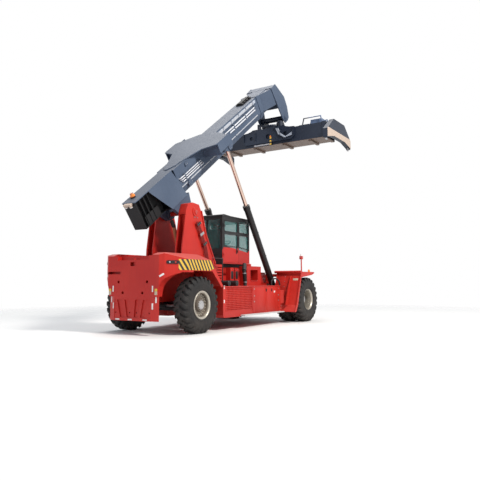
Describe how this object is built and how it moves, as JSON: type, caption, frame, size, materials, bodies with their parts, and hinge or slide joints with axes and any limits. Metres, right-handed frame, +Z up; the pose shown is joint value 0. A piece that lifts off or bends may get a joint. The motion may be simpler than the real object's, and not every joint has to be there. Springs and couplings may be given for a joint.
{
  "type": "reach stacker",
  "caption": "Container reach stacker with a raised telescopic boom, a telescopic spreader, twin front wheels and steered rear wheels.",
  "frame": {"origin": "on the ground at the middle of the parked machine's overall length, on its centre plane", "axes": "+X forward, towards the front wheels and the spreader; +Y to the machine's left; +Z up"},
  "size_m": [10.0921, 6.053, 9.7024],
  "materials": {
    "red_paint": "gloss red paint, dusty",
    "boom_paint": "satin blue-grey paint, weathered",
    "spreader_paint": "satin dark blue paint, worn",
    "black_paint": "satin black paint",
    "bare_steel": "worn bare steel",
    "rod_chrome": "polished rod",
    "tyre_rubber": "dusty tyre rubber",
    "rim_paint": "silver rim paint",
    "green_glass": "green-tinted glass",
    "seat_black": "black seat and controls",
    "lamp_red": "lamp lenses and posts",
    "exhaust_steel": "heat-browned steel",
    "step_grey": "pale grey tread plate"
  },
  "bodies": {
    "chassis": {"main_frame": "red_paint", "counterweight": "red_paint", "rear_fenders": "red_paint", "boom_tower": "red_paint", "side_boxes": "red_paint", "steps_and_pipes": "step_grey", "front_fenders": "red_paint", "front_axle": "black_paint", "rear_axle": "black_paint", "engine_block": "black_paint", "deck": "red_paint", "exhaust": "exhaust_steel", "cab_shell": "black_paint", "cab_glass": "green_glass", "cab_seat": "seat_black", "lamps": "lamp_red"},
    "cab_door": {"cab_door": "red_paint", "door_glass": "green_glass"},
    "steering_knuckle_right": {"knuckle_right": "black_paint"},
    "steering_knuckle_left": {"knuckle_left": "black_paint"},
    "rear_wheel_right": {"rear_tyre_right": "tyre_rubber", "rear_rim_right": "rim_paint"},
    "rear_wheel_left": {"rear_tyre_left": "tyre_rubber", "rear_rim_left": "rim_paint"},
    "front_wheels_right": {"front_tyres_right": "tyre_rubber", "front_rims_right": "rim_paint"},
    "front_wheels_left": {"front_tyres_left": "tyre_rubber", "front_rims_left": "rim_paint"},
    "steer_rod": {"steer_rod": "bare_steel"},
    "boom_outer": {"outer_boom": "boom_paint", "boom_saddle": "boom_paint", "boom_fittings": "bare_steel"},
    "boom_inner": {"inner_boom": "boom_paint", "boom_head": "boom_paint"},
    "lift_barrels": {"lift_barrels": "black_paint"},
    "lift_rods": {"lift_rods": "rod_chrome"},
    "spreader_yoke": {"spreader_yoke": "spreader_paint"},
    "rotator": {"rotator": "spreader_paint"},
    "spreader_frame": {"spreader_frame": "spreader_paint"},
    "beam_right": {"end_beam_right": "spreader_paint"},
    "beam_left": {"end_beam_left": "spreader_paint"},
    "lock_right_front": {"twistlock_right_front": "bare_steel"},
    "lock_right_rear": {"twistlock_right_rear": "bare_steel"},
    "lock_left_front": {"twistlock_left_front": "bare_steel"},
    "lock_left_rear": {"twistlock_left_rear": "bare_steel"}
  },
  "joints": [
    {"name": "boom_lift", "type": "hinge", "parent": "chassis", "child": "boom_outer", "pos_m": [-2.72, 0, 3.68], "axis": [0, -1, 0], "range_deg": [-37.3, 22.7]},
    {"name": "lift_barrel_swing", "type": "hinge", "parent": "chassis", "child": "lift_barrels", "pos_m": [2.14, 0, 1.2], "axis": [0, -1, 0], "range_deg": [-5.6, 3.6]},
    {"name": "lift_rod_slide", "type": "slide", "parent": "lift_barrels", "child": "lift_rods", "axis": [-0.5615, 0, 0.8275], "range_m": [-1.8, 1.1]},
    {"name": "boom_telescope", "type": "slide", "parent": "boom_outer", "child": "boom_inner", "axis": [0.7955, 0, 0.606], "range_m": [0, 5.1]},
    {"name": "spreader_tilt", "type": "hinge", "parent": "boom_inner", "child": "spreader_yoke", "pos_m": [3.82408, 0, 8.48926], "axis": [0, 1, 0], "range_deg": [-38, 24]},
    {"name": "spreader_slew", "type": "hinge", "parent": "spreader_yoke", "child": "rotator", "pos_m": [3.82408, 0, 7.78926], "axis": [0, 0, 1], "range_deg": [-40, 40]},
    {"name": "side_shift", "type": "slide", "parent": "rotator", "child": "spreader_frame", "axis": [0, 1, 0], "range_m": [-0.8, 0.8]},
    {"name": "beam_right_slide", "type": "slide", "parent": "spreader_frame", "child": "beam_right", "axis": [0, -1, 0], "range_m": [0, 3.048]},
    {"name": "beam_left_slide", "type": "slide", "parent": "spreader_frame", "child": "beam_left", "axis": [0, 1, 0], "range_m": [0, 3.048]},
    {"name": "lock_right_front_turn", "type": "hinge", "parent": "beam_right", "child": "lock_right_front", "pos_m": [4.95408, -2.9265, 7.03426], "axis": [0, 0, 1], "range_deg": [0, 90]},
    {"name": "lock_right_rear_turn", "type": "hinge", "parent": "beam_right", "child": "lock_right_rear", "pos_m": [2.69408, -2.9265, 7.03426], "axis": [0, 0, 1], "range_deg": [0, 90]},
    {"name": "lock_left_front_turn", "type": "hinge", "parent": "beam_left", "child": "lock_left_front", "pos_m": [4.95408, 2.9265, 7.03426], "axis": [0, 0, 1], "range_deg": [0, 90]},
    {"name": "lock_left_rear_turn", "type": "hinge", "parent": "beam_left", "child": "lock_left_rear", "pos_m": [2.69408, 2.9265, 7.03426], "axis": [0, 0, 1], "range_deg": [0, 90]},
    {"name": "cab_door_hinge", "type": "hinge", "parent": "chassis", "child": "cab_door", "pos_m": [-1.067, -0.681, 2.405], "axis": [0, 0, -1], "range_deg": [0, 85]},
    {"name": "steering_right", "type": "hinge", "parent": "chassis", "child": "steering_knuckle_right", "pos_m": [-3.44, -0.99, 0.82], "axis": [0, 0, 1], "range_deg": [-42, 42]},
    {"name": "steering_left", "type": "hinge", "parent": "chassis", "child": "steering_knuckle_left", "pos_m": [-3.44, 0.99, 0.82], "axis": [0, 0, 1], "range_deg": [-42, 42]},
    {"name": "steer_rod_slide", "type": "slide", "parent": "chassis", "child": "steer_rod", "axis": [0, -1, 0], "range_m": [-0.2, 0.2]},
    {"name": "rear_wheel_right_spin", "type": "hinge", "parent": "steering_knuckle_right", "child": "rear_wheel_right", "pos_m": [-3.44, -1.315, 0.82], "axis": [0, 1, 0], "continuous": true},
    {"name": "rear_wheel_left_spin", "type": "hinge", "parent": "steering_knuckle_left", "child": "rear_wheel_left", "pos_m": [-3.44, 1.315, 0.82], "axis": [0, 1, 0], "continuous": true},
    {"name": "front_wheels_right_spin", "type": "hinge", "parent": "chassis", "child": "front_wheels_right", "pos_m": [2.56, -1.585, 0.82], "axis": [0, 1, 0], "continuous": true},
    {"name": "front_wheels_left_spin", "type": "hinge", "parent": "chassis", "child": "front_wheels_left", "pos_m": [2.56, 1.585, 0.82], "axis": [0, 1, 0], "continuous": true}
  ],
  "couplings": [
    {"joint": "lift_barrel_swing", "follows": "boom_lift", "ratio": 0.14},
    {"joint": "lift_rod_slide", "follows": "boom_lift", "m_per_rad": 2.65},
    {"joint": "beam_left_slide", "follows": "beam_right_slide", "ratio": 1},
    {"joint": "lock_right_rear_turn", "follows": "lock_right_front_turn", "ratio": 1},
    {"joint": "lock_left_front_turn", "follows": "lock_right_front_turn", "ratio": 1},
    {"joint": "lock_left_rear_turn", "follows": "lock_right_front_turn", "ratio": 1},
    {"joint": "steering_left", "follows": "steering_right", "ratio": 1},
    {"joint": "steer_rod_slide", "follows": "steering_right", "m_per_rad": 0.24}
  ]
}
